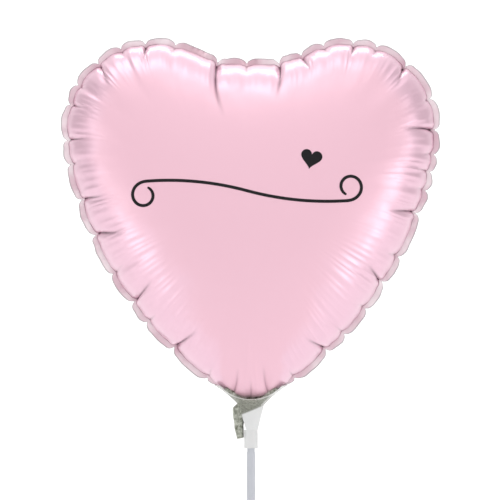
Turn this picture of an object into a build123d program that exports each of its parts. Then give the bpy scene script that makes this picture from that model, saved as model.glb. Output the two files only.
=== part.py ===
from build123d import *
import math
import os

# Foil heart balloon on a cup and stick. Millimetres, +Z up, the front of the heart towards -Y,
# origin at the centre of the stick's lower end.

# Stick: a thin plastic tube, drawn down to a slimmer spigot at its top
stick_length = 300.0
stick_diameter = 4.2
stick_bore = 2.8
spigot_diameter = 3.8
spigot_length = 16.0
spigot_chamfer = 0.3

# Cup: a hollow stem, a funnel and a flared bowl with two raised wings
stem_diameter = 6.8
stem_length = 9.0
shoulder_gap = 2.0
socket_gap = 0.05
socket_top_gap = 1.0
throat_diameter = 13.0
funnel_height = 12.5
cup_width = 37.0
cup_height = 31.5
flare_bow = 0.6
cup_wall = 1.0
slot_width = 5.0

# Heart: its outline is made of tangent arcs, tip, sides, lobes and notch
tip_radius = 20.0
side_radius = 180.0
lobe_radius = 43.0
lobe_offset = 48.5
lobe_height = 133.0
notch_height = 165.5
seat_depth = 6.0
dome_depth = 44.0
dome_centre = 100.0
dome_steps = 7
dome_last_angle = 78.0
film = 0.4
flange_width = 3.5
flange_thickness = 0.5
flange_end_gap = 2.0

# Neck: the gathered film, which lines the cup and leaves it through the slot
seat_gap = 0.8
neck_gap = 0.4
neck_film = 0.4
liner_diameter = 24.0
knot_top_diameter = 9.2
knot_end_diameter = 3.0
knot_depth = 5.0
tail_width = 4.2
tail_end_thickness = 3.2
tail_top_thickness = 6.0
tail_reach = 4.5

# Valve: two thin films between the panels
valve_width = 22.0
valve_length = 45.0
valve_film = 0.2
valve_gap = 0.3

# Heights that the pieces share
shoulder_z = stick_length - spigot_length
stem_z = shoulder_z + shoulder_gap
funnel_z = stem_z + stem_length
throat_z = funnel_z + funnel_height
rim_z = stem_z + cup_height
tip_z = rim_z - seat_depth
socket_top_z = stick_length + socket_top_gap
tip_centre_z = tip_z + tip_radius
stem_r = stem_diameter / 2
throat_r = throat_diameter / 2
rim_r = cup_width / 2


def heart_outline(inset, share=1.0, depth=0.0):
    """Wire of the heart, its seam moved inwards by inset, drawn at a share of its size at a depth along Y."""
    tip = (0.0, tip_radius)
    lobe = (lobe_offset, lobe_height)
    # centre of the side arc: inside-tangent to the tip and the lobe
    tip_reach = side_radius - tip_radius
    lobe_reach = side_radius - lobe_radius
    span = math.dist(tip, lobe)
    along = (tip_reach**2 - lobe_reach**2 + span**2) / (2 * span)
    across = math.sqrt(tip_reach**2 - along**2)
    ux, uz = (lobe[0] - tip[0]) / span, (lobe[1] - tip[1]) / span
    side = (tip[0] + along * ux - across * uz, tip[1] + along * uz + across * ux)
    # centre of the notch arc: outside-tangent to both lobes, on the middle line
    drop = notch_height - lobe_height
    notch_radius = (lobe_offset**2 + drop**2 - lobe_radius**2) / (2 * (lobe_radius - drop))
    notch = (0.0, notch_height + notch_radius)

    def place(centre, radius, angle):
        x = centre[0] + radius * math.cos(angle)
        z = centre[1] + radius * math.sin(angle)
        return Vector(x * share, depth, tip_z + dome_centre + (z - dome_centre) * share)

    def arc(centre, radius, start, end):
        middle = (start + end) / 2
        return ThreePointArc(*(place(centre, radius, a) for a in (start, middle, end)))

    down = -math.pi / 2
    to_tip = math.atan2(tip[1] - side[1], tip[0] - side[0])
    to_lobe = math.atan2(lobe[1] - side[1], lobe[0] - side[0])
    to_notch = math.atan2(notch[1] - lobe[1], notch[0] - lobe[0])
    right = [
        arc(tip, tip_radius - inset, down, to_tip),
        arc(side, side_radius - inset, to_tip, to_lobe),
        arc(lobe, lobe_radius - inset, to_lobe, to_notch),
        arc(notch, notch_radius + inset, to_notch - math.pi, down),
    ]
    left = [edge.mirror(Plane.YZ) for edge in reversed(right)]
    return Wire(right + left)


def dome(inset, side):
    """Closed half heart on one side of the seam plane, side -1 for the front."""
    sections = []
    for step in range(dome_steps):
        angle = math.radians(dome_last_angle) * step / (dome_steps - 1)
        depth = side * (dome_depth - inset) * math.sin(angle)
        sections.append(heart_outline(inset, math.cos(angle), depth))
    return Solid.make_loft(sections)


def panel(side):
    return dome(0, side) - dome(film, side)


def seam_flange():
    """Flat border outside the panels, left open where the neck leaves the heart."""
    border = Face(heart_outline(-flange_width), [heart_outline(0)])
    ring = extrude(border, flange_thickness / 2, dir=(0, 1, 0), both=True)
    gate_top = rim_z + flange_end_gap
    gate = Box(2 * cup_width, cup_width, cup_width).translate((0, 0, gate_top - cup_width / 2))
    return ring - gate - dome(0, -1) - dome(0, 1)


def valve(side):
    """Film strip inside the heart, its lower end against the panels."""
    middle_y = side * (valve_gap + valve_film) / 2
    strip = Box(valve_width, valve_film, valve_length)
    strip = strip.translate((0, middle_y, tip_z + valve_length / 2))
    return strip & dome(film, side)


def bowed(start, end, bow):
    """Arc from start to end, bowed by a height to the left of the way it runs."""
    chord = math.dist(start, end)
    nx, nz = -(end[1] - start[1]) / chord, (end[0] - start[0]) / chord
    middle = ((start[0] + end[0]) / 2 + bow * nx, (start[1] + end[1]) / 2 + bow * nz)
    return ThreePointArc(*((x, 0, z) for x, z in (start, middle, end)))


def flare_edge(lift):
    """Start and end of the bowl's flare, moved off its outer face by lift."""
    chord = math.dist((throat_r, throat_z), (rim_r, rim_z))
    nx, nz = -(rim_z - throat_z) / chord, (rim_r - throat_r) / chord
    return ((throat_r + lift * nx, throat_z + lift * nz), (rim_r + lift * nx, rim_z + lift * nz))


def turned(edges):
    """Solid of revolution about Z of the closed profile that the edges make."""
    return revolve(Face(Wire(edges)), Axis.Z)


def line(*points):
    return [Line((a[0], 0, a[1]), (b[0], 0, b[1])) for a, b in zip(points, points[1:])]


def saddle(gap):
    """Space that the heart's tip takes out of the cup, seen from the front."""
    trough = Cylinder(tip_radius + gap, 2 * cup_width, rotation=(90, 0, 0))
    return trough.translate((0, 0, tip_centre_z))


def balloon_cup():
    socket_r = spigot_diameter / 2 + socket_gap
    outer = flare_edge(0)
    inner = flare_edge(cup_wall)
    throat = (throat_r - cup_wall, inner[0][1])
    shell = turned([
        *line((socket_r, stem_z), (stem_r, stem_z), (stem_r, funnel_z), outer[0]),
        bowed(outer[0], outer[1], flare_bow),
        *line(outer[1], inner[1]),
        bowed(inner[1], inner[0], -flare_bow),
        *line(inner[0], throat, (socket_r, socket_top_z), (socket_r, stem_z)),
    ])
    slot = Box(cup_width, slot_width, 2 * cup_height).translate((-cup_width / 2, 0, funnel_z + cup_height))
    lid = Box(2 * cup_width, 2 * cup_width, cup_height).translate((0, 0, rim_z + cup_height / 2))
    return shell - saddle(seat_gap) - slot - lid


def neck_tail():
    low = flare_edge(cup_wall + neck_gap)
    high = flare_edge(cup_wall + neck_gap + neck_film)
    knot_r = knot_top_diameter / 2
    knot_z = low[0][1]
    liner = turned([
        *line((0, knot_z - knot_depth), (knot_end_diameter / 2, knot_z - knot_depth)),
        *line((knot_end_diameter / 2, knot_z - knot_depth), (knot_r, knot_z), low[0]),
        bowed(low[0], low[1], flare_bow),
        *line(low[1], high[1]),
        bowed(high[1], high[0], -flare_bow),
        *line(high[0], (0, high[0][1]), (0, knot_z - knot_depth)),
    ])
    liner &= Cylinder(liner_diameter / 2, 2 * cup_height).translate((0, 0, throat_z))
    return liner - saddle(seat_gap) + tail(knot_z)


def tail(knot_z):
    """Flat cord of film out through the slot and down beside the stem."""
    knot_end = (-knot_end_diameter / 2, knot_z - knot_depth)
    stem_side = stem_r + neck_gap
    slot_side = stick_diameter / 2 + 2 * neck_gap
    end_z = funnel_z - tail_reach
    inside = [
        knot_end, (-slot_side, knot_end[1]), (-slot_side, funnel_z + stem_side - slot_side + neck_gap),
        (-stem_side, funnel_z + neck_gap), (-stem_side, end_z),
    ]
    outside = [
        (-stem_side - tail_end_thickness, end_z), (-stem_side - tail_end_thickness, funnel_z),
        (-slot_side - tail_top_thickness, throat_z), (-throat_r, knot_z), (knot_end[0], knot_z),
    ]
    loop = inside + outside
    return extrude(Face(Wire(line(*loop, loop[0]))), tail_width / 2, dir=(0, 1, 0), both=True)


def stick():
    bore_r = stick_bore / 2
    body_r = stick_diameter / 2
    spigot_r = spigot_diameter / 2
    return turned(line(
        (bore_r, 0), (body_r, 0), (body_r, shoulder_z), (spigot_r, shoulder_z),
        (spigot_r, stick_length - spigot_chamfer), (spigot_r - spigot_chamfer, stick_length),
        (bore_r, stick_length), (bore_r, 0),
    ))


pieces = {
    "front_panel": panel(-1),
    "back_panel": panel(1),
    "seam_flange": seam_flange(),
    "valve_front_film": valve(-1),
    "valve_back_film": valve(1),
    "neck_tail": neck_tail(),
    "balloon_cup": balloon_cup(),
    "stick": stick(),
}

os.makedirs("parts", exist_ok=True)
for name, solid in pieces.items():
    solid.label = name
    export_step(solid, f"parts/{name}.step")
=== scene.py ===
import math

import bpy
import numpy as np
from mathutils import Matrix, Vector


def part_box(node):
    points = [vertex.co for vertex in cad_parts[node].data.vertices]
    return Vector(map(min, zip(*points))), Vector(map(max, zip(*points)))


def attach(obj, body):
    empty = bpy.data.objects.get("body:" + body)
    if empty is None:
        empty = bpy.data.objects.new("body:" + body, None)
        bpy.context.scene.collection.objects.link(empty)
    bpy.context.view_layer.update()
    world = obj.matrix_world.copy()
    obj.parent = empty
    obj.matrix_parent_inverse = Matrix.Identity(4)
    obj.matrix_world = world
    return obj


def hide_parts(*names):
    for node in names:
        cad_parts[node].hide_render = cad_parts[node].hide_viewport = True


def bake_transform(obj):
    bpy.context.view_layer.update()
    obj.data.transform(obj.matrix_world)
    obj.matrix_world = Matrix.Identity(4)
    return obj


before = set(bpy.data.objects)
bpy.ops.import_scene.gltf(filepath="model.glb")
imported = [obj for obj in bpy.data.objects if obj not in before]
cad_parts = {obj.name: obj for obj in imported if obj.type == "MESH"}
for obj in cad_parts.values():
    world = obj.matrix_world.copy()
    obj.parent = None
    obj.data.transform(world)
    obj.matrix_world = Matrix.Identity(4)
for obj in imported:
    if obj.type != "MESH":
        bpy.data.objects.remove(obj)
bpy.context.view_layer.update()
mm = 0.001
heartLow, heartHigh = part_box("front_panel")
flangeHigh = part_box("seam_flange")[1]
cupLow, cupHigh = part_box("balloon_cup")
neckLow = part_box("neck_tail")[0]


# small helpers

def makeObject(name, points, faces, material):
    mesh = bpy.data.meshes.new(name)
    mesh.from_pydata([tuple(p) for p in np.asarray(points).tolist()], [], faces)
    mesh.polygons.foreach_set("use_smooth", [True] * len(mesh.polygons))
    mesh.materials.append(material)
    mesh.update()
    made = bpy.data.objects.new(name, mesh)
    bpy.context.scene.collection.objects.link(made)
    return made


def addPointValues(piece, name, values):
    layer = piece.data.attributes.new(name, "FLOAT", "POINT")
    layer.data.foreach_set("value", np.asarray(values, np.float32).ravel())


def gridFaces(rows, columns, flip):
    # quads of a grid whose columns close on themselves
    found = []
    for row in range(rows - 1):
        for column in range(columns):
            after = (column + 1) % columns
            quad = (row * columns + column, row * columns + after,
                    (row + 1) * columns + after, (row + 1) * columns + column)
            found.append(quad[::-1] if flip else quad)
    return found


def smoothStep(values, low, high):
    share = np.clip((values - low) / (high - low), 0, 1)
    return share * share * (3 - 2 * share)


def freeze(piece):
    # modifiers become the mesh
    graph = bpy.context.evaluated_depsgraph_get()
    graph.update()
    mesh = bpy.data.meshes.new_from_object(piece.evaluated_get(graph))
    piece.modifiers.clear()
    piece.data = mesh
    mesh.name = piece.name
    return piece


# node groups and materials

def newGroup(name, inputs, outputs):
    group = bpy.data.node_groups.new(name, "ShaderNodeTree")
    for label, value in inputs:
        socket = group.interface.new_socket(label, in_out="INPUT", socket_type="NodeSocketFloat")
        socket.default_value = value
    for label in outputs:
        group.interface.new_socket(label, in_out="OUTPUT", socket_type="NodeSocketFloat")
    return group, group.nodes.new("NodeGroupInput"), group.nodes.new("NodeGroupOutput")


def addNode(tree, kind, **values):
    node = tree.nodes.new(kind)
    for key, value in values.items():
        if hasattr(node, key):
            setattr(node, key, value)
        else:
            node.inputs[key.replace("_", " ")].default_value = value
    return node


def mathNode(tree, operation, first, second=None, third=None):
    node = tree.nodes.new("ShaderNodeMath")
    node.operation = operation
    for slot, value in enumerate((first, second, third)):
        if value is None:
            continue
        if isinstance(value, (int, float)):
            node.inputs[slot].default_value = value
        else:
            tree.links.new(value, node.inputs[slot])
    return node.outputs[0]


def makeCrinkleGroup():
    # small dents of thin metallised film: a height, and a mask of where it is scuffed, which the silver film
    # also uses to place painted shade
    group, given, result = newGroup("filmCrinkle", (("Scale", 60.0), ("Sharpness", 0.5)), ("Height", "Scuff"))
    link = group.links.new
    where = addNode(group, "ShaderNodeTexCoord")
    broad = addNode(group, "ShaderNodeTexNoise", Detail=1.5, Roughness=0.45, Distortion=0.6)
    cells = addNode(group, "ShaderNodeTexVoronoi", feature="DISTANCE_TO_EDGE")
    for texture in (broad, cells):
        link(where.outputs["Object"], texture.inputs["Vector"])
    link(given.outputs["Scale"], broad.inputs["Scale"])
    link(mathNode(group, "MULTIPLY", given.outputs["Scale"], 1.7), cells.inputs["Scale"])
    edge = mathNode(group, "MINIMUM", cells.outputs["Distance"], 0.25)
    facets = mathNode(group, "MULTIPLY", edge, given.outputs["Sharpness"])
    link(mathNode(group, "ADD", broad.outputs["Fac"], facets), result.inputs["Height"])
    fine = addNode(group, "ShaderNodeTexNoise", Scale=900.0, Detail=3.0, Roughness=0.7)
    link(where.outputs["Object"], fine.inputs["Vector"])
    scuffAndShade = mathNode(group, "MULTIPLY", fine.outputs["Fac"], broad.outputs["Fac"])
    link(scuffAndShade, result.inputs["Scuff"])
    return group


def makePlasticGroup():
    # moulding grain and faint lengthwise drawing lines
    group, given, result = newGroup("plasticGrain", (("Grain", 700.0), ("Lines", 0.0)), ("Height", "Tone"))
    link = group.links.new
    where = addNode(group, "ShaderNodeTexCoord")
    grain = addNode(group, "ShaderNodeTexNoise", Detail=3.0, Roughness=0.6)
    link(where.outputs["Object"], grain.inputs["Vector"])
    link(given.outputs["Grain"], grain.inputs["Scale"])
    squash = addNode(group, "ShaderNodeMapping")
    squash.inputs["Scale"].default_value = (1.0, 1.0, 0.01)
    link(where.outputs["Object"], squash.inputs["Vector"])
    drawn = addNode(group, "ShaderNodeTexNoise", Scale=1800.0, Detail=2.0)
    link(squash.outputs["Vector"], drawn.inputs["Vector"])
    streak = mathNode(group, "MULTIPLY", drawn.outputs["Fac"], given.outputs["Lines"])
    link(mathNode(group, "ADD", grain.outputs["Fac"], streak), result.inputs["Height"])
    cloud = addNode(group, "ShaderNodeTexNoise", Scale=45.0, Detail=2.0)
    link(where.outputs["Object"], cloud.inputs["Vector"])
    link(mathNode(group, "ADD", cloud.outputs["Fac"], streak), result.inputs["Tone"])
    return group


def spread(tree, value, low, high, smooth=True, top=1.0):
    # 0 to top as the value goes from low to high
    kind = "SMOOTHSTEP" if smooth else "LINEAR"
    found = addNode(tree, "ShaderNodeMapRange", interpolation_type=kind)
    for label, number in (("From Min", low), ("From Max", high), ("To Max", top)):
        found.inputs[label].default_value = number
    tree.links.new(value, found.inputs["Value"])
    return found.outputs["Result"]


def newMaterial(name):
    material = bpy.data.materials.new(name)
    material.use_nodes = True
    tree = material.node_tree
    return material, tree, tree.nodes["Principled BSDF"]


def setShader(shader, values):
    for key, value in values.items():
        shader.inputs[key].default_value = value


def addBump(tree, shader, height, strength, distance):
    bump = addNode(tree, "ShaderNodeBump", Strength=strength, Distance=distance)
    tree.links.new(height, bump.inputs["Height"])
    tree.links.new(bump.outputs["Normal"], shader.inputs["Normal"])


def mixColours(tree, share, first, second):
    mix = tree.nodes.new("ShaderNodeMix")
    mix.data_type = "RGBA"
    for label, value in (("A", first), ("B", second)):
        socket = [s for s in mix.inputs if s.name == label and s.type == "RGBA"][0]
        if isinstance(value, tuple):
            socket.default_value = value
        else:
            tree.links.new(value, socket)
    tree.links.new(share, mix.inputs[0])
    return [s for s in mix.outputs if s.type == "RGBA"][0]


filmLook = {
    "printPink": (0.86, 0.535, 0.64, 1),
    "pearlPink": (0.87, 0.575, 0.695, 1),
    # painted shade for the cores of the creases
    "creaseShadePink": (0.16, 0.075, 0.11, 1),
    "metallic": 0.62,
    "printMetallic": 0.25,
    "roughness": 0.29,
    "printRoughness": 0.42,
    "coat": 0.3,
    "coatRoughness": 0.18,
    "crinkleScale": 75.0,
    "crinkleSharpness": 0.12,
    "printEdge": (0.6, 1.2),     # where the print gives way to the bare rim, ragged by the crinkle
}


def makePinkFilm():
    material, tree, shader = newMaterial("pearlPinkFilm")
    link = tree.links.new
    setShader(shader, {"Coat Weight": filmLook["coat"], "Coat Roughness": filmLook["coatRoughness"]})
    crinkle = addNode(tree, "ShaderNodeGroup", node_tree=crinkleGroup)
    crinkle.inputs["Scale"].default_value = filmLook["crinkleScale"]
    crinkle.inputs["Sharpness"].default_value = filmLook["crinkleSharpness"]
    inward = addNode(tree, "ShaderNodeAttribute", attribute_name="inward")
    # how much painted shade each point gets in a crease core
    crease = addNode(tree, "ShaderNodeAttribute", attribute_name="crease")
    ragged = mathNode(tree, "MULTIPLY_ADD", crinkle.outputs["Height"], 0.5, inward.outputs["Fac"])
    share = spread(tree, ragged, *filmLook["printEdge"])
    pearly = mixColours(tree, share, filmLook["pearlPink"], filmLook["printPink"])
    # the crease cores are painted dark: painted shade
    creaseShaded = mixColours(tree, crease.outputs["Fac"], pearly, filmLook["creaseShadePink"])
    link(creaseShaded, shader.inputs["Base Color"])
    duller = filmLook["printRoughness"] - filmLook["roughness"]
    dull = mathNode(tree, "MULTIPLY_ADD", share, duller, filmLook["roughness"])
    link(mathNode(tree, "MULTIPLY_ADD", crinkle.outputs["Scuff"], 0.1, dull), shader.inputs["Roughness"])
    # the printed middle is satin, the bare rim of the film shines
    plainer = filmLook["printMetallic"] - filmLook["metallic"]
    shine = mathNode(tree, "MULTIPLY_ADD", share, plainer, filmLook["metallic"])
    link(shine, shader.inputs["Metallic"])
    addBump(tree, shader, crinkle.outputs["Height"], 0.2, 0.0006)
    return material


edgeLook = {
    "bandPink": (0.80, 0.58, 0.66, 1),
    "bandPale": (0.95, 0.84, 0.88, 1),
    # painted shade where the flange folds back in the notch
    "notchShadePink": (0.66, 0.40, 0.48, 1),
    "seamPink": (0.50, 0.37, 0.42, 1),
    "cutEdge": (0.34, 0.30, 0.32, 1),
    "opacity": 0.88,
    "metallic": 0.25,
    "patchScale": 70.0,
}


def makeFlangeFilm():
    material, tree, shader = newMaterial("sealedEdgeFilm")
    link = tree.links.new
    setShader(shader, {"Metallic": edgeLook["metallic"], "Coat Weight": 0.3, "Coat Roughness": 0.2})
    crinkle = addNode(tree, "ShaderNodeGroup", node_tree=crinkleGroup)
    crinkle.inputs["Scale"].default_value = 160.0
    outward = addNode(tree, "ShaderNodeAttribute", attribute_name="outward")
    edge = spread(tree, outward.outputs["Fac"], 0.78, 1.0)
    seam = spread(tree, outward.outputs["Fac"], 0.16, 0.0)
    patch = addNode(tree, "ShaderNodeTexNoise", Scale=edgeLook["patchScale"], Detail=2.0)
    where = addNode(tree, "ShaderNodeTexCoord")
    link(where.outputs["Object"], patch.inputs["Vector"])
    pale = spread(tree, patch.outputs["Fac"], 0.38, 0.62, smooth=False)
    band = mixColours(tree, pale, edgeLook["bandPink"], edgeLook["bandPale"])
    # darker where the flange folds back in the notch: painted shade
    folded = addNode(tree, "ShaderNodeAttribute", attribute_name="folded")
    band = mixColours(tree, folded.outputs["Fac"], band, edgeLook["notchShadePink"])
    sealed = mixColours(tree, seam, band, edgeLook["seamPink"])
    link(mixColours(tree, edge, sealed, edgeLook["cutEdge"]), shader.inputs["Base Color"])
    clear = mathNode(tree, "MULTIPLY_ADD", edge, -0.1, edgeLook["opacity"])
    link(clear, shader.inputs["Alpha"])
    link(mathNode(tree, "MULTIPLY_ADD", crinkle.outputs["Scuff"], 0.2, 0.29), shader.inputs["Roughness"])
    addBump(tree, shader, crinkle.outputs["Height"], 0.4, 0.0005)
    return material


silverLook = {
    # painted shade of the film's fine folds, put in random specks
    "foldShade": (0.13, 0.14, 0.10, 1),
    "face": (0.66, 0.68, 0.61, 1),
    "metallic": 0.75,
    "crinkleScale": 420.0,
    "crinkleSharpness": 1.2,
}


def makeSilverFilm():
    material, tree, shader = newMaterial("bareSilverFilm")
    link = tree.links.new
    setShader(shader, {"Metallic": silverLook["metallic"], "Coat Weight": 0.1})
    crinkle = addNode(tree, "ShaderNodeGroup", node_tree=crinkleGroup)
    crinkle.inputs["Scale"].default_value = silverLook["crinkleScale"]
    crinkle.inputs["Sharpness"].default_value = silverLook["crinkleSharpness"]
    # dark specks at random: painted shade of fine folds
    speck = spread(tree, crinkle.outputs["Scuff"], 0.12, 0.42, smooth=False)
    link(mixColours(tree, speck, silverLook["foldShade"], silverLook["face"]), shader.inputs["Base Color"])
    link(mathNode(tree, "MULTIPLY_ADD", crinkle.outputs["Scuff"], 0.35, 0.28), shader.inputs["Roughness"])
    addBump(tree, shader, crinkle.outputs["Height"], 0.7, 0.0005)
    return material


def measureRim():
    # lowest height of the cup's rim, and how fast it rises with the square of the sideways distance
    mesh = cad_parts["balloon_cup"].data
    front = max(v.co.z for v in mesh.vertices if abs(v.co.x) < 0.0012)
    return {"front": front, "rise": (cupHigh.z - front) / cupHigh.x**2}


cupRim = measureRim()
print("cup rim", cupRim)


cupLook = {
    "milky": (0.80, 0.81, 0.81, 1),
    "greyDark": (0.24, 0.25, 0.20, 1),
    "greyPale": (0.46, 0.47, 0.41, 1),
    # painted highlight along the cut rim
    "rimHighlightWhite": (0.95, 0.95, 0.94, 1),
    "stemOpacity": 0.80,
    "flareOpacity": 0.44,
    "flareFrom": (0.58, 0.62),    # as shares of the cup's height
    "flareSlant": -0.42,
    "rimBand": (0.0006, 0.0001),
    "rimOpacity": 0.6,
    "grain": 420.0,
    "speckle": 1900.0,
}


def makeCupPlastic():
    material, tree, shader = newMaterial("milkyCupPlastic")
    link = tree.links.new
    setShader(shader, {"IOR": 1.46, "Coat Weight": 0.2})
    grain = addNode(tree, "ShaderNodeGroup", node_tree=plasticGroup)
    grain.inputs["Grain"].default_value = cupLook["grain"]
    link(mathNode(tree, "MULTIPLY_ADD", grain.outputs["Tone"], 0.2, 0.2), shader.inputs["Roughness"])
    # thin flare is clearer than the thick stem
    where = addNode(tree, "ShaderNodeTexCoord")
    axes = addNode(tree, "ShaderNodeSeparateXYZ")
    link(where.outputs["Object"], axes.inputs["Vector"])
    slanted = mathNode(tree, "MULTIPLY_ADD", axes.outputs["X"], cupLook["flareSlant"], axes.outputs["Z"])
    low, high = (cupLow.z + share * (cupHigh.z - cupLow.z) for share in cupLook["flareFrom"])
    flare = spread(tree, slanted, low, high)
    clearer = cupLook["flareOpacity"] - cupLook["stemOpacity"]
    clear = mathNode(tree, "MULTIPLY_ADD", flare, clearer, cupLook["stemOpacity"])
    # the flare takes up the grey of the film that is pressed against it
    speck = addNode(tree, "ShaderNodeTexNoise", Scale=cupLook["speckle"], Detail=2.0)
    link(where.outputs["Object"], speck.inputs["Vector"])
    grainy = spread(tree, speck.outputs["Fac"], 0.35, 0.65, smooth=False)
    grey = mixColours(tree, grainy, cupLook["greyDark"], cupLook["greyPale"])
    tint = mixColours(tree, flare, cupLook["milky"], grey)
    # its cut rim, which dips at the front and back, is painted white and made more opaque: partly the plastic
    # seen edge-on, partly a painted highlight
    dip = mathNode(tree, "MULTIPLY", axes.outputs["X"], axes.outputs["X"])
    rimHeight = mathNode(tree, "MULTIPLY_ADD", dip, -cupRim["rise"], axes.outputs["Z"])
    low, high = (cupRim["front"] - below for below in cupLook["rimBand"])
    rim = spread(tree, rimHeight, low, high, top=cupLook["rimOpacity"])
    clear = mathNode(tree, "MAXIMUM", clear, rim)
    link(mixColours(tree, rim, tint, cupLook["rimHighlightWhite"]), shader.inputs["Base Color"])
    link(mathNode(tree, "MULTIPLY_ADD", grain.outputs["Tone"], 0.12, clear), shader.inputs["Alpha"])
    addBump(tree, shader, grain.outputs["Height"], 0.12, 0.0003)
    return material


stickLook = {"pale": (0.66, 0.69, 0.72, 1), "grey": (0.52, 0.54, 0.59, 1), "lines": 0.8}


def makeStickPlastic():
    material, tree, shader = newMaterial("greyStickPlastic")
    link = tree.links.new
    setShader(shader, {"Coat Weight": 0.25, "Coat Roughness": 0.3})
    grain = addNode(tree, "ShaderNodeGroup", node_tree=plasticGroup)
    grain.inputs["Lines"].default_value = stickLook["lines"]
    tone = mixColours(tree, grain.outputs["Tone"], stickLook["pale"], stickLook["grey"])
    link(tone, shader.inputs["Base Color"])
    link(mathNode(tree, "MULTIPLY_ADD", grain.outputs["Tone"], 0.15, 0.3), shader.inputs["Roughness"])
    addBump(tree, shader, grain.outputs["Height"], 0.15, 0.0003)
    return material


valveLook = {"Base Color": (0.86, 0.88, 0.88, 1), "Alpha": 0.5}
inkLook = {"black": (0.010, 0.010, 0.011, 1), "worn": (0.020, 0.019, 0.021, 1), "gloss": 0.12}


def makeValveFilm():
    material, tree, shader = newMaterial("clearValveFilm")
    link = tree.links.new
    setShader(shader, valveLook)
    crinkle = addNode(tree, "ShaderNodeGroup", node_tree=crinkleGroup)
    link(mathNode(tree, "MULTIPLY_ADD", crinkle.outputs["Scuff"], 0.3, 0.2), shader.inputs["Roughness"])
    addBump(tree, shader, crinkle.outputs["Height"], 0.3, 0.0004)
    return material


def makeInk():
    material, tree, shader = newMaterial("blackInk")
    link = tree.links.new
    grain = addNode(tree, "ShaderNodeGroup", node_tree=plasticGroup)
    setShader(shader, {"Specular IOR Level": inkLook["gloss"]})
    tone = mixColours(tree, grain.outputs["Tone"], inkLook["black"], inkLook["worn"])
    link(tone, shader.inputs["Base Color"])
    link(mathNode(tree, "MULTIPLY_ADD", grain.outputs["Tone"], 0.2, 0.5), shader.inputs["Roughness"])
    return material


crinkleGroup = makeCrinkleGroup()
plasticGroup = makePlasticGroup()
pinkFilm = makePinkFilm()
flangeFilm = makeFlangeFilm()
silverFilm = makeSilverFilm()
cupPlastic = makeCupPlastic()
stickPlastic = makeStickPlastic()
valveFilm = makeValveFilm()
blackInk = makeInk()
print("materials ready")


# the blown heart: a disc stretched onto the heart's outline, so that its spokes meet the seam squarely

heart = {
    "columns": 1080,
    "rows": 42,
    "harmonics": 200,
    "crownDepth": -heartLow.y / mm,
    "centreShare": 0.57,      # height of the disc's middle, as a share of the heart's
    "fitPoints": 1024,
    "fitRounds": 120,
    "spokeSamples": 4096,
    "crowding": 3.0,          # how much closer the columns stand beside a big crease
    "crowdingReach": 3.2,
    "thickness": 0.12,
    "pillow": 1.0,            # how far the film puffs out between creases
    "pillowReach": 9.0,
    "pillowFloor": 0.6,
    "creaseWidth": 0.55,      # steep side of a crease
    "creaseLazySide": 3.0,    # the other side, this many times as wide
    "creaseWiden": 0.05,
    "creaseFlank": 0.16,
    "seamNotch": 0.6,
    "smallCreaseGap": 21.0,
    "seamSway": 1.1,          # how far the seam wanders forwards and backwards
    "swayAtCrease": 0.35,
    "snug": 0.7,
    "snugReach": 14.0,
    "ripple": 0.46,
    "rippleGap": 3.6,
    "rippleLevel": 0.64,
    "rippleReach": 1.12,      # as a share of the shining rim
    "slack": 0.5,
    "seed": 11,
}

# least reach, then angle, extra reach and spread in degrees of its wider places
shineZone = {"least": 17, "wider": ((218, 22, 30), (322, 20, 26), (2, 8, 24), (88, 5, 20), (150, 3, 20))}

# degrees round the heart from its right side, depth, length and sideways lean of each big crease
bigCreases = (
    (-85, 3.0, 15, 0.10), (-64, 2.8, 11, -0.35), (-33, 2.4, 11, 0.3), (-6, 2.6, 13, -0.2), (8, 1.2, 6, 0.0),
    (20, 2.9, 17, 0.15), (40, 2.6, 12, -0.3), (56, 1.8, 8, 0.1), (70, 2.0, 8, -0.3), (78, 3.4, 20, 0.1),
    (104, 3.6, 30, -0.05), (125, 2.2, 9, 0.2), (139, 2.2, 13, 0.25), (153, 1.6, 6, 0.0), (163, 2.0, 9, 0.0),
    (181, 2.5, 12, 0.15), (194, 2.6, 15, 0.3), (222, 2.7, 14, -0.2), (243, 2.8, 14, 0.25),
    (265, 3.0, 14, -0.1), (270, 1.8, 9, 0.0),
)


def seamOutline():
    # outer corner points of the front panel in the seam plane, by angle round the heart's middle
    points = np.array([tuple(v.co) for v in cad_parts["front_panel"].data.vertices]) / mm
    flat = points[np.abs(points[:, 1]) < 0.01][:, (0, 2)] - heartMiddle
    angle = np.arctan2(flat[:, 1], flat[:, 0])
    reach = np.hypot(flat[:, 0], flat[:, 1])
    order = np.argsort(angle)
    angle, reach = angle[order], reach[order]
    # only the outermost points of each narrow sector
    outer = [k for k in range(len(angle)) if reach[k] > reach[np.abs(angle - angle[k]) < 0.012].max() - 0.12]
    return angle[outer], reach[outer]


def conjugate(values):
    spectrum = np.fft.fft(values)
    waves = np.fft.fftfreq(len(values), 1 / len(values))
    return np.real(np.fft.ifft(-1j * np.sign(waves) * spectrum))


def stretchDisc():
    # power series that carries the unit disc onto the heart, found by turning the rim until it fits
    count = heart["fitPoints"]
    angle, reach = seamOutline()
    spoke = np.arange(count) * 2 * math.pi / count

    def bendAt(turn):
        wrapped = (turn + math.pi) % (2 * math.pi) - math.pi
        return np.interp(wrapped, angle, np.log(reach), period=2 * math.pi)

    turn = spoke.copy()
    for _ in range(heart["fitRounds"]):
        turn = 0.5 * turn + 0.5 * (spoke + conjugate(bendAt(turn)))
    rim = np.exp(bendAt(turn) + 1j * turn)
    top = heart["harmonics"]
    return (np.fft.fft(rim) / count)[:top], (np.fft.fft(np.abs(rim) ** 2) / count)[:top]


def ring(terms, spokes, share):
    # one ring of the disc at a share of its radius: place, and millimetres per radian of spoke
    waves = np.arange(len(terms))
    scaled = terms * share**waves
    turned = np.exp(1j * np.outer(spokes, waves))
    return turned @ scaled, np.abs(turned @ (scaled * waves))


def nearestColumn(angles, wanted):
    return int(np.argmin(np.abs((angles - wanted + 180) % 360 - 180)))


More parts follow.
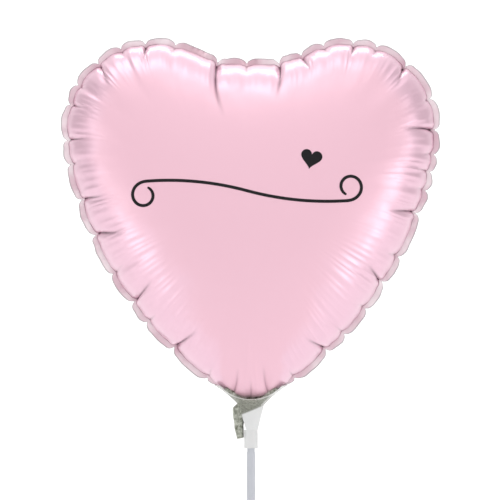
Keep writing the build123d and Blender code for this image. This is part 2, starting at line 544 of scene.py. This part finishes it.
def placeSpokes():
    # columns stand closer together beside the big creases
    samples = heart["spokeSamples"]
    even = np.arange(samples) * 2 * math.pi / samples
    rim, _ = ring(series, even, 1.0)
    at = np.concatenate([[0], np.cumsum(np.abs(np.diff(rim)))])
    length = at[-1] + np.abs(rim[0] - rim[-1])
    density = np.ones(samples)
    around = np.degrees(np.angle(rim))
    for angle, *_ in bigCreases:
        gap = (at - at[nearestColumn(around, angle)] + length / 2) % length - length / 2
        density += heart["crowding"] * np.exp(-((gap / heart["crowdingReach"]) ** 2))
    summed = np.cumsum(density * np.append(np.diff(at), length - at[-1]))
    wanted = np.arange(heart["columns"]) * summed[-1] / heart["columns"]
    return np.interp(wanted, np.append(0, summed), np.append(even, 2 * math.pi))


def seamGap(column):
    # signed distance along the seam from one column to every other
    return (seamAt - seamAt[column] + seamLength / 2) % seamLength - seamLength / 2


def ringNoise(seed, longest, shortest):
    # smooth noise round the seam, waves between the two lengths in millimetres
    dice = np.random.default_rng(seed)
    turn = seamAt * 2 * math.pi / seamLength
    total = np.zeros(len(turn))
    for wave in range(max(1, int(seamLength / longest)), int(seamLength / shortest) + 1):
        total += np.cos(wave * turn + dice.uniform(0, 2 * math.pi)) * dice.uniform(0.4, 1)
    return total / np.abs(total).max()


heartMiddle = np.array([0.0, (heartLow.z + heart["centreShare"] * (heartHigh.z - heartLow.z)) / mm])
series, squares = stretchDisc()
spokes = placeSpokes()
shares = np.cos(math.pi / 2 * np.arange(heart["rows"]) / heart["rows"])
rings = [ring(series, spokes, share) for share in shares]
plan = np.array([place for place, _ in rings])            # complex x + iz of every point
pace = np.array([speed for _, speed in rings])
swell = np.array([np.real(2 * ring(squares, spokes, s)[0] - squares[0]) for s in shares])
swell = np.sqrt(np.clip(swell - np.abs(plan) ** 2, 0, None))
swell[0] = 0
swell *= heart["crownDepth"] / swell.max()
seamStep = np.abs(np.roll(plan[0], -1) - plan[0])
seamAt = np.concatenate([[0], np.cumsum(seamStep)[:-1]])
seamLength = seamStep.sum()
inward = np.concatenate([[np.zeros(heart["columns"])], np.cumsum(np.abs(np.diff(plan, axis=0)), axis=0)])
outwardDirection = plan[0] - plan[1]
outwardDirection /= np.abs(outwardDirection)
seamAngle = np.degrees(np.angle(plan[0])) % 360


def bell(angle, spreadDegrees):
    # 1 at an angle round the seam, fading to both sides
    return np.exp(-((((seamAngle - angle + 180) % 360 - 180) / spreadDegrees) ** 2))


seamHeight = plan[0].imag + heartMiddle[1]
nearCup = 1 - smoothStep(seamHeight, cupHigh.z / mm - 2, cupHigh.z / mm + 7)


def zoneReach():
    # how far the bare shining rim reaches in from the seam, in millimetres
    reach = np.full(heart["columns"], float(shineZone["least"]))
    for angle, extra, spreadDegrees in shineZone["wider"]:
        reach += extra * bell(angle, spreadDegrees)
    return reach * (1 - 0.9 * nearCup)


zone = zoneReach()
print("heart outline stretched, seam", round(seamLength), "mm")


def listCreases():
    # the big creases, then small ones in the wider gaps between them
    found = [(nearestColumn(seamAngle, angle), *rest) for angle, *rest in bigCreases]
    dice = np.random.default_rng(heart["seed"])
    placed = sorted(seamAt[column] for column, *_ in found)
    for start, end in zip(placed, placed[1:] + [placed[0] + seamLength]):
        count = int((end - start) / heart["smallCreaseGap"])
        for k in range(1, count + 1):
            at = start + (end - start) * (k + dice.uniform(-0.22, 0.22)) / (count + 1)
            column = int(np.argmin(np.abs(seamAt - at % seamLength)))
            found.append((column, dice.uniform(0.5, 1.0), dice.uniform(3.5, 7), dice.uniform(-0.3, 0.3)))
    return found


creases = listCreases()


def filmRelief(back):
    # how far each point of a panel moves along its normal, and how much painted shade it gets in the core of
    # a crease
    dice = np.random.default_rng(heart["seed"] + 5 * back)
    relief = np.zeros_like(swell)
    shadow = np.zeros_like(swell)
    nearest = np.full(heart["columns"], 1e3)
    for number, (column, depth, length, lean) in enumerate(creases):
        if back:
            length, lean = length * dice.uniform(0.7, 1.3), lean + dice.uniform(-0.3, 0.3)
        turn = (spokes - spokes[column] + math.pi) % (2 * math.pi) - math.pi
        depthIn = inward[:, column:column + 1]
        across = turn[None, :] * pace[:, column:column + 1] - lean * depthIn
        fade = np.clip(1 - depthIn / length, 0, 1) ** 1.2
        width = heart["creaseWidth"] * (0.5 + 0.2 * depth) + heart["creaseWiden"] * depthIn
        steep = np.where(across * (1 if number % 3 else -1) > 0, 1.0, heart["creaseLazySide"])
        valley = np.exp(-np.sqrt(across**2 + 0.01) / (width * steep))
        flank = np.exp(-((np.abs(across) - 4 * width) / (2.2 * width)) ** 2)
        relief += depth * fade * (heart["creaseFlank"] * flank - valley)
        # painted shade along each crease's core, weaker near the cup
        core = np.exp(-((across / (0.6 * width + 0.1)) ** 2))
        dark = min(1, depth / 2.0) * (1 - 0.6 * nearCup[column])
        shadow = np.maximum(shadow, core * np.minimum(1, 1.5 * fade) * dark)
        nearest = np.minimum(nearest, np.abs(seamGap(column)) / (1.6 + 1.8 * depth))
    puff = smoothStep(nearest, 0, 1.5) - heart["pillowFloor"]
    relief += heart["pillow"] * puff * np.exp(-inward / heart["pillowReach"])
    seed = heart["seed"] + back
    phase = math.pi * seamAt / heart["rippleGap"] + 2.2 * ringNoise(seed + 2, 90, 9)
    comb = heart["rippleLevel"] - np.abs(np.sin(phase))
    patchy = 0.45 + 0.55 * smoothStep(ringNoise(seed + 7, 160, 30), -0.35, 0.4)
    reach = heart["rippleReach"] * zone * (0.7 + 0.3 * smoothStep(ringNoise(seed + 9, 60, 8), -1, 1))
    rise = smoothStep(inward, 1.5, 6.0) * (1 - smoothStep(inward, 0.35 * reach, reach))
    relief += heart["ripple"] * comb * patchy * rise
    slack = heart["slack"] * ringNoise(seed + 21, 70, 22)
    relief += slack * smoothStep(inward, 2, 9) * (1 - smoothStep(inward, 12, 38))
    relief[0] *= heart["seamNotch"]
    return relief, shadow


def seamSway():
    sway = heart["seamSway"] * ringNoise(heart["seed"] + 31, 60, 16)
    for number, (column, depth, *_) in enumerate(creases):
        along = seamGap(column)
        side = 1 if number % 2 else -1
        sway += side * heart["swayAtCrease"] * depth * (along / 2) * np.exp(-np.abs(along) / 2)
    return sway * (1 - nearCup)


sway = seamSway()


def panelPoints(back):
    side = 1 if back else -1
    base = np.stack([plan.real, side * swell, plan.imag + heartMiddle[1]], axis=-1)
    around = np.roll(base, -1, axis=1) - np.roll(base, 1, axis=1)
    normal = np.cross(np.gradient(base, axis=0), around)
    normal /= np.linalg.norm(normal, axis=-1, keepdims=True) + 1e-12
    if (normal[10] * (base[10] - base[-1].mean(axis=0))).sum() < 0:
        normal *= -1
    normal[0] = np.stack([outwardDirection.real, np.zeros(heart["columns"]), outwardDirection.imag], axis=-1)
    relief, shadow = filmRelief(back)
    # the tip sits snug in the cup, its folds show only above the rim
    pressed = np.where(relief > 0, 0.85 * np.exp(-inward / 12), np.exp(-inward / 4))
    relief *= 1 - nearCup[None, :] * pressed
    relief[1:] += heart["snug"] * (nearCup[None, :] * np.exp(-inward / heart["snugReach"]))[1:]
    moved = base + normal * relief[..., None]
    drift = sway[None, :] * np.exp(-inward / 5)
    # neither panel crosses the seam into the other
    moved[1:, :, 1] = side * np.maximum(side * moved[1:, :, 1], 0.05)
    moved[..., 1] += drift
    return moved, shadow


def buildPanel(name, back, node):
    points, shadow = panelPoints(back)
    rows, columns = heart["rows"], heart["columns"]
    crown = points[-1].mean(axis=0)[None, :]
    everything = np.concatenate([points.reshape(-1, 3), crown]) * mm
    faces = gridFaces(rows, columns, flip=not back)
    middle, last = rows * columns, (rows - 1) * columns
    for column in range(columns):
        fan = (last + column, last + (column + 1) % columns, middle)
        faces.append(fan if back else fan[::-1])
    piece = makeObject(name, everything, faces, pinkFilm)
    addPointValues(piece, "inward", np.append(np.clip(inward / zone, 0, 1), 1))
    # where the painted crease shade goes
    addPointValues(piece, "crease", np.append(shadow, 0))
    film = piece.modifiers.new("film", "SOLIDIFY")
    film.thickness, film.offset = heart["thickness"] * mm, -1
    freeze(piece)
    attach(piece, "balloon")
    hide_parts(node)
    return piece, points[0]


frontFilm, frontSeam = buildPanel("frontFilm", False, "front_panel")
backFilm, _ = buildPanel("backFilm", True, "back_panel")
print("panels", len(frontFilm.data.polygons), len(backFilm.data.polygons))


flange = {
    "width": (flangeHigh.x - heartHigh.x) / mm,
    "rows": 7,
    "scallop": 0.16,
    "pinch": 0.35,
    "flutter": 0.9,
    "flip": 0.5,
    "edgeNoise": 0.22,
    "folds": ((111, 5), (91, 6)),    # degrees round the heart, and spread
    "foldFlutter": 1.3,
    "foldRuffle": 0.9,
    "foldLift": 0.8,
    "ruffleGap": 3.1,
    "thickness": 0.16,
    "widthInCup": 0.4,
}


def buildFlange():
    columns = heart["columns"]
    nearest, flip = np.full(columns, 1e3), np.zeros(columns)
    for number, (column, depth, *_) in enumerate(creases):
        along = seamGap(column)
        nearest = np.minimum(nearest, np.abs(along) / (1.0 + 0.8 * depth))
        side = 1 if number % 2 else -1
        flip += side * flange["flip"] * depth * (along / 1.4) * np.exp(-np.abs(along) / 1.4)
    lobes = smoothStep(nearest, 0, 2.6)
    width = flange["width"] * (1 - flange["scallop"] + flange["scallop"] * lobes)
    width *= 1 - flange["pinch"] * np.exp(-nearest / 0.35)
    width += flange["edgeNoise"] * ringNoise(heart["seed"] + 41, 30, 6)
    width = width * (1 - nearCup) + flange["widthInCup"] * nearCup
    # it wrinkles and leans back in the notch, where there is too much of it
    folded = np.zeros(columns)
    for angle, spreadDegrees in flange["folds"]:
        folded += bell(angle, spreadDegrees)
    height = flange["flutter"] + flange["foldFlutter"] * folded
    flutter = height * ringNoise(heart["seed"] + 43, 26, 7) + flip
    ruffle = np.abs(np.sin(seamAt * math.pi / flange["ruffleGap"]))
    flutter += flange["foldRuffle"] * folded * ruffle + flange["foldLift"] * folded
    rows = []
    for row in range(flange["rows"]):
        share = row / (flange["rows"] - 1)
        spot = frontSeam.copy()
        spot[:, 0] += outwardDirection.real * width * share
        spot[:, 2] += outwardDirection.imag * width * share
        spot[:, 1] += flutter * share**1.3 * (1 - nearCup)
        rows.append(spot)
    points = np.concatenate(rows) * mm
    piece = makeObject("seamFlange", points, gridFaces(flange["rows"], columns, flip=True), flangeFilm)
    addPointValues(piece, "outward", np.repeat(np.linspace(0, 1, flange["rows"]), columns))
    # mask of the painted shade in the notch
    addPointValues(piece, "folded", np.tile(np.clip(0.8 * folded, 0, 1), flange["rows"]))
    film = piece.modifiers.new("film", "SOLIDIFY")
    film.thickness, film.offset = flange["thickness"] * mm, 0
    freeze(piece)
    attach(piece, "balloon")
    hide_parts("seam_flange")
    return piece


seamFlange = buildFlange()
print("flange", len(seamFlange.data.polygons))


# silver neck: a pleated lining in the cup's flare, gathered to a knot, and the tail out of the slot

neck = {
    "columns": 220,
    "rows": 26,
    "gap": 0.28,
    "belowRim": 1.8,
    "lipReach": 0.5,          # the lining's top turns in this far under the heart
    "lipRise": 3.8,
    "pleats": 17,
    "pleatAtRim": 0.10,
    "pleatAtThroat": 1.0,
    "lowAtSlot": 303.2,       # the lining's lower edge slants up away from the slot
    "lowOpposite": 306.6,
    "slotHalf": 3.2,
    "knotRadius": 4.4,
    "knotWave": 0.25,
    "knotDrop": 1.6,
    "knotShift": 0.6,
    "tailTop": 309.2,
    "tailRings": 40,
    "tailColumns": 96,
    "tailOuter": 6.4,
    "tailBulge": 2.9,
    "tailInner": 3.2,
    "tailHalfDepth": 1.95,
    "tailFolds": 5,
    "tailFoldDepth": 0.16,
    "tailSlant": 0.5,
    "thickness": 0.1,
    "seed": 5,
}


def flareInside():
    # radius of the cup's inner wall by height and angle; the slot is bridged
    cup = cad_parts["balloon_cup"]
    angles = np.arange(neck["columns"]) * 2 * math.pi / neck["columns"]
    levels = np.arange(neck["lowAtSlot"] - 1, cupHigh.z / mm + 0.3, 0.25)
    radius = np.full((len(levels), len(angles)), np.nan)
    for row, level in enumerate(levels):
        for column, angle in enumerate(angles):
            way = Vector((math.cos(angle), math.sin(angle), 0))
            hit, place, *_ = cup.ray_cast(Vector((0, 0, level * mm)), way)
            if hit and not (way.x < 0 and abs(place.y) / mm < neck["slotHalf"]):
                radius[row, column] = math.hypot(place.x, place.y) / mm
    solid = ~np.isnan(radius)
    known = solid.sum(axis=0) > 8
    top = [levels[solid[:, c]].max() for c in np.flatnonzero(known)]
    top = np.interp(angles, angles[known], top, period=2 * math.pi)
    return angles, levels, radius, top


def liningPoints():
    angles, levels, radius, top = flareInside()
    dice = np.random.default_rng(neck["seed"])
    slanted = neck["lowOpposite"] - neck["lowAtSlot"]
    low = neck["lowAtSlot"] + slanted * (0.5 + 0.5 * np.cos(angles))
    wave = np.cos(neck["pleats"] * angles + 1.3 * np.sin(3 * angles) + dice.uniform(0, 6))
    wave += 0.5 * np.cos(29 * angles + 2 * np.sin(2 * angles))
    filled = radius.copy()
    for row in range(len(levels)):
        known = ~np.isnan(radius[row])
        if known.sum() > 6:
            filled[row] = np.interp(angles, angles[known], radius[row][known], period=2 * math.pi)
    known = [~np.isnan(filled[:, c]) for c in range(len(angles))]
    flatter = neck["pleatAtRim"] - neck["pleatAtThroat"]
    rows = []
    for row in range(neck["rows"]):
        share = row / (neck["rows"] - 1)
        height = low + (top - neck["belowRim"] - low) * share
        wall = [np.interp(h, levels[k], filled[k, c]) for c, (h, k) in enumerate(zip(height, known))]
        depth = neck["pleatAtThroat"] + flatter * min(1, share * 2.2)
        reach = np.array(wall) - neck["gap"] * (1 - 0.6 * share) - depth * (0.5 + wave / 3)
        rows.append(np.stack([reach * np.cos(angles), reach * np.sin(angles), height], axis=-1))
    # the lining's top turns in under the heart and closes on it
    top = rows[-1]
    for share in (0.25, 0.5, 0.75, 1.0):
        inward = 1 - (1 - neck["lipReach"]) * share
        rows.append(top * (inward, inward, 1) + (0, 0, neck["lipRise"] * share))
    knot = []
    for share in (0.75, 0.5, 0.25, 0.05):
        reach = (neck["knotRadius"] + neck["knotWave"] * wave) * share
        x = reach * np.cos(angles) - neck["knotShift"] * (1 - share)
        knot.append(np.stack([x, reach * np.sin(angles), low - neck["knotDrop"] * (1 - share)], axis=-1))
    return knot[::-1] + rows


def tailPoints():
    # a folded strip hanging from the knot, crumpled and cut at a slant
    heights = np.linspace(neck["tailTop"], neckLow.z / mm + 0.15, neck["tailRings"])
    turns = np.arange(neck["tailColumns"]) * 2 * math.pi / neck["tailColumns"]
    rings = []
    for number, height in enumerate(heights):
        share = number / (len(heights) - 1)
        outer = -neck["tailOuter"] - neck["tailBulge"] * smoothStep(share, 0.0, 0.2)
        outer += smoothStep(share, 0.25, 0.7) + smoothStep(share, 0.7, 1)
        inner = -neck["tailInner"] - 0.45 * smoothStep(share, 0.5, 0.7)
        halfX, halfY = (inner - outer) / 2, neck["tailHalfDepth"] - 0.35 * share
        turned = neck["tailFolds"] * turns + 2.2 * share + 0.8 * math.sin(9 * share)
        folds = 1 - neck["tailFoldDepth"] * (0.5 + 0.5 * np.cos(turned))
        folds -= 0.06 * (0.5 + 0.5 * np.cos(13 * turns - 5 * share))
        x = (outer + inner) / 2 + halfX * folds * np.sign(np.cos(turns)) * np.abs(np.cos(turns)) ** 0.8
        y = halfY * folds * np.sign(np.sin(turns)) * np.abs(np.sin(turns)) ** 0.8
        rings.append(np.stack([x, y, height + neck["tailSlant"] * share * (x - outer) / 3], axis=-1))
    return rings


def buildNeck():
    lining = liningPoints()
    columns = neck["columns"]
    points = list(np.concatenate(lining))
    faces = gridFaces(len(lining), columns, flip=False)
    foot = len(points)
    points.append(lining[0].mean(axis=0))
    faces += [(foot, (c + 1) % columns, c) for c in range(columns)]
    rings, around = tailPoints(), neck["tailColumns"]
    start = len(points)
    points += list(np.concatenate(rings))
    faces += [tuple(start + k for k in quad) for quad in gridFaces(len(rings), around, flip=True)]
    for at, order in ((0, 1), (len(rings) - 1, -1)):
        tip = len(points)
        points.append(rings[at].mean(axis=0) + np.array([0, 0, 0.2 * order]))
        for c in range(around):
            fan = (start + at * around + c, start + at * around + (c + 1) % around, tip)
            faces.append(fan if order > 0 else fan[::-1])
    piece = makeObject("silverNeck", np.array(points) * mm, faces, silverFilm)
    film = piece.modifiers.new("film", "SOLIDIFY")
    film.thickness, film.offset = neck["thickness"] * mm, 0
    freeze(piece)
    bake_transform(piece)
    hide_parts("neck_tail")
    return piece


silverNeck = buildNeck()
print("neck", len(silverNeck.data.polygons))


# printed flourish and small heart, laid on the front film

ink = {
    "width": 1.5,
    "lift": 0.09,
    "step": 0.5,
    "centre": (-2.0, 414.0),
    "halfLength": 82.0,
    "slack": 15.0,
    "curlFrom": 0.6,
    "curlTurn": 330.0,
    "heartSize": 10.5,
    "heartPlace": (29.5, 430.0),
    "heartTilt": -12.0,
    "thickness": 0.05,
    "drawnAt": -0.08,         # metres in front of the film, from where the print is cast back onto it
    "strokeSteps": 160,
    "heartPoints": 72,
    "taper": 0.55,            # width of the stroke's very ends, as a share
}


def flourish():
    # an even-handed stroke: a slack wave that curls up at one end and down at the other
    spot, half = np.zeros(2), []
    steps = ink["strokeSteps"]
    for number in range(steps):
        share = number / steps
        curl = max(0.0, share - ink["curlFrom"]) / (1 - ink["curlFrom"])
        heading = math.radians(-ink["slack"] + 2.1 * ink["slack"] * share + ink["curlTurn"] * curl**1.25)
        half.append(tuple(spot))
        spot = spot + np.array([math.cos(heading), math.sin(heading)]) * ink["halfLength"] / steps
    return [(-x, -y) for x, y in half[:0:-1]] + half


def heartOutline():
    spots = []
    tilt = math.radians(ink["heartTilt"])
    for t in np.arange(ink["heartPoints"]) * 2 * math.pi / ink["heartPoints"]:
        x = 16 * math.sin(t) ** 3
        y = 13 * math.cos(t) - 5 * math.cos(2 * t) - 2 * math.cos(3 * t) - math.cos(4 * t)
        x, y = x * ink["heartSize"] / 32, y * ink["heartSize"] / 32
        spots.append((x * math.cos(tilt) - y * math.sin(tilt), x * math.sin(tilt) + y * math.cos(tilt)))
    return spots


def drawSpline(curve, spots, centre, closed):
    spline = curve.splines.new("POLY")
    spline.points.add(len(spots) - 1)
    for point, (x, z) in zip(spline.points, spots):
        point.co = ((x + centre[0]) * mm, ink["drawnAt"], (z + centre[1]) * mm, 1)
    spline.use_cyclic_u = closed


def makePrintTree(solid):
    # lays a drawn line or a filled outline on the film and gives it a little thickness
    tree = bpy.data.node_groups.new("printOnFilm" + ("Solid" if solid else "Line"), "GeometryNodeTree")
    face = tree.interface
    face.new_socket("Geometry", in_out="INPUT", socket_type="NodeSocketGeometry")
    face.new_socket("Film", in_out="INPUT", socket_type="NodeSocketObject")
    for label in ("Line Width", "Lift", "Step"):
        face.new_socket(label, in_out="INPUT", socket_type="NodeSocketFloat")
    face.new_socket("Material", in_out="INPUT", socket_type="NodeSocketMaterial")
    face.new_socket("Geometry", in_out="OUTPUT", socket_type="NodeSocketGeometry")
    nodes, link = tree.nodes, tree.links.new
    given, result = nodes.new("NodeGroupInput"), nodes.new("NodeGroupOutput")
    film = nodes.new("GeometryNodeObjectInfo")
    film.transform_space = "RELATIVE"
    link(given.outputs["Film"], film.inputs["Object"])
    steps = nodes.new("GeometryNodeResampleCurve")
    steps.mode = "LENGTH"
    link(given.outputs["Geometry"], steps.inputs["Curve"])
    link(given.outputs["Step"], steps.inputs["Length"])
    flat = steps.outputs["Curve"]
    if solid:
        fill = nodes.new("GeometryNodeFillCurve")
        # the drawing stands upright, filling needs it lying flat
        lay = nodes.new("GeometryNodeTransform")
        lay.inputs["Rotation"].default_value = (-math.pi / 2, 0, 0)
        raiseUp = nodes.new("GeometryNodeTransform")
        raiseUp.inputs["Rotation"].default_value = (math.pi / 2, 0, 0)
        raiseUp.inputs["Translation"].default_value = (0, ink["drawnAt"], 0)
        finer = nodes.new("GeometryNodeSubdivideMesh")
        finer.inputs["Level"].default_value = 3
        link(flat, lay.inputs["Geometry"])
        link(lay.outputs["Geometry"], fill.inputs["Curve"])
        link(fill.outputs["Mesh"], finer.inputs["Mesh"])
        link(finer.outputs["Mesh"], raiseUp.inputs["Geometry"])
        flat = raiseUp.outputs["Geometry"]
    else:
        across = nodes.new("GeometryNodeCurvePrimitiveLine")
        for label, share in (("Start", -0.5), ("End", 0.5)):
            place = nodes.new("ShaderNodeCombineXYZ")
            link(mathNode(tree, "MULTIPLY", given.outputs["Line Width"], share), place.inputs["Y"])
            link(place.outputs[0], across.inputs[label])
        ribbon = nodes.new("GeometryNodeCurveToMesh")
        along = nodes.new("GeometryNodeSplineParameter")
        taper = nodes.new("ShaderNodeFloatCurve")
        points = taper.mapping.curves[0].points
        points[0].location, points[1].location = (0, ink["taper"]), (1, ink["taper"])
        points.new(0.04, 1)
        points.new(0.96, 1)
        link(along.outputs["Factor"], taper.inputs["Value"])
        link(taper.outputs["Value"], ribbon.inputs["Scale"])
        link(flat, ribbon.inputs["Curve"])
        link(across.outputs["Curve"], ribbon.inputs["Profile Curve"])
        flat = ribbon.outputs["Mesh"]
    cast = nodes.new("GeometryNodeRaycast")
    cast.inputs["Ray Direction"].default_value = (0, 1, 0)
    cast.inputs["Ray Length"].default_value = 0.2
    link(film.outputs["Geometry"], cast.inputs["Target Geometry"])
    lift = nodes.new("ShaderNodeVectorMath")
    lift.operation = "SCALE"
    link(cast.outputs["Hit Normal"], lift.inputs[0])
    link(given.outputs["Lift"], lift.inputs["Scale"])
    landed = nodes.new("ShaderNodeVectorMath")
    link(cast.outputs["Hit Position"], landed.inputs[0])
    link(lift.outputs[0], landed.inputs[1])
    move = nodes.new("GeometryNodeSetPosition")
    link(flat, move.inputs["Geometry"])
    link(landed.outputs[0], move.inputs["Position"])
    link(cast.outputs["Is Hit"], move.inputs["Selection"])
    realize = nodes.new("GeometryNodeRealizeInstances")
    paint = nodes.new("GeometryNodeSetMaterial")
    link(move.outputs["Geometry"], realize.inputs["Geometry"])
    link(realize.outputs["Geometry"], paint.inputs["Geometry"])
    link(given.outputs["Material"], paint.inputs["Material"])
    link(paint.outputs["Geometry"], result.inputs["Geometry"])
    return tree


def buildPrint(name, spots, closed, centre):
    curve = bpy.data.curves.new(name, "CURVE")
    curve.dimensions = "3D"
    drawSpline(curve, spots, centre, closed)
    drawn = bpy.data.objects.new(name, curve)
    bpy.context.scene.collection.objects.link(drawn)
    tree = makePrintTree(closed)
    laid = drawn.modifiers.new("lay", "NODES")
    laid.node_group = tree
    values = {"Film": frontFilm, "Line Width": ink["width"] * mm, "Lift": ink["lift"] * mm,
              "Step": ink["step"] * mm, "Material": blackInk}
    for socket in tree.interface.items_tree:
        if socket.in_out == "INPUT" and socket.name in values:
            laid[socket.identifier] = values[socket.name]
    graph = bpy.context.evaluated_depsgraph_get()
    graph.update()
    mesh = bpy.data.meshes.new_from_object(drawn.evaluated_get(graph))
    bpy.data.objects.remove(drawn)
    piece = bpy.data.objects.new(name, mesh)
    bpy.context.scene.collection.objects.link(piece)
    mesh.polygons.foreach_set("use_smooth", [True] * len(mesh.polygons))
    body = piece.modifiers.new("ink", "SOLIDIFY")
    body.thickness, body.offset = ink["thickness"] * mm, 0
    freeze(piece)
    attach(piece, "balloon")
    return piece


inkLine = buildPrint("inkFlourish", flourish(), False, ink["centre"])
inkHeart = buildPrint("inkHeart", heartOutline(), True, ink["heartPlace"])
print("print", len(inkLine.data.polygons), len(inkHeart.data.polygons))


# cup, stick and valve keep their CAD shapes

def dress(node, material):
    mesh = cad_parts[node].data
    mesh.materials.clear()
    mesh.materials.append(material)


dress("balloon_cup", cupPlastic)
dress("stick", stickPlastic)
dress("valve_front_film", valveFilm)
dress("valve_back_film", valveFilm)


# stage, light and camera

lighting = {"room": 1.0, "roomSides": 0.5, "sidesFrom": 0.45, "sidesTo": 0.95, "aim": (0, 0, 0.41)}
# name, place, size, power and, if it isn't the heart, what it points at
lamps = (
    ("topBox", (-0.1, -0.25, 1.5), (1.5, 0.5), 3.0),
    ("leftBox", (-0.95, -0.35, 0.47), (0.25, 0.90), 1.0),
    ("rightBox", (1.1, -0.30, 0.50), (0.25, 1.00), 1.1),
    ("lowBox", (0.75, -0.35, 0.14), (0.22, 0.60), 0.585),
    ("lowLeftBox", (-0.70, -0.35, 0.06), (0.18, 0.50), 0.27),
    ("backBox", (0.0, 2.4, 3.6), (3.0, 1.0), 60.0, (0, 4.4, 0.6)),
)
stageLook = {"floorSize": 14.0, "wallAt": 5.0, "wallHeight": 5.0, "bend": 1.8}
view = {"width": 0.250, "centreX": -0.0005, "centreZ": 0.385, "distance": 1.9}


def buildStage():
    material, tree, shader = newMaterial("paleStage")
    setShader(shader, {"Base Color": (0.92, 0.92, 0.92, 1), "Roughness": 0.9})
    half, wall, bend = stageLook["floorSize"] / 2, stageLook["wallAt"], stageLook["bend"]
    turns = np.linspace(0, math.pi / 2, 17)
    curve = [(wall - bend + bend * math.sin(turn), bend - bend * math.cos(turn)) for turn in turns]
    profile = [(-half, 0.0)] + curve + [(wall, stageLook["wallHeight"])]
    points = [(x, y, z) for y, z in profile for x in (-half, half)]
    faces = [(2 * k, 2 * k + 1, 2 * k + 3, 2 * k + 2) for k in range(len(profile) - 1)]
    sweep = makeObject("paleSweep", points, faces, material)


def addLight(name, place, size, power, target=lighting["aim"]):
    lamp = bpy.data.lights.new(name, "AREA")
    lamp.shape, lamp.energy = "RECTANGLE", power
    lamp.size, lamp.size_y = size
    made = bpy.data.objects.new(name, lamp)
    bpy.context.scene.collection.objects.link(made)
    made.location = place
    made.rotation_euler = (Vector(target) - Vector(place)).to_track_quat("-Z", "Y").to_euler()


def buildLight():
    world = bpy.data.worlds.new("paleRoom")
    world.use_nodes = True
    tree = world.node_tree
    tree.nodes["Background"].inputs["Color"].default_value = (1.0, 0.99, 0.985, 1)
    # the room is palest behind the camera and dimmer to the sides
    where = tree.nodes.new("ShaderNodeTexCoord")
    axes = tree.nodes.new("ShaderNodeSeparateXYZ")
    tree.links.new(where.outputs["Generated"], axes.inputs["Vector"])
    side = mathNode(tree, "ABSOLUTE", axes.outputs["X"])
    sideways = spread(tree, side, lighting["sidesFrom"], lighting["sidesTo"])
    dimmer = lighting["roomSides"] - lighting["room"]
    strength = mathNode(tree, "MULTIPLY_ADD", sideways, dimmer, lighting["room"])
    tree.links.new(strength, tree.nodes["Background"].inputs["Strength"])
    bpy.context.scene.world = world
    for lamp in lamps:
        addLight(*lamp)


def buildCamera():
    lens = bpy.data.cameras.new("frontView")
    lens.sensor_width = 36
    lens.lens = 36 * view["distance"] / view["width"]
    camera = bpy.data.objects.new("frontView", lens)
    bpy.context.scene.collection.objects.link(camera)
    camera.location = (view["centreX"], -view["distance"], view["centreZ"])
    camera.rotation_euler = (math.pi / 2, 0, 0)
    bpy.context.scene.camera = camera


buildStage()
buildLight()
buildCamera()
bpy.context.scene.view_settings.view_transform = "Standard"
print("stage, light and camera ready")
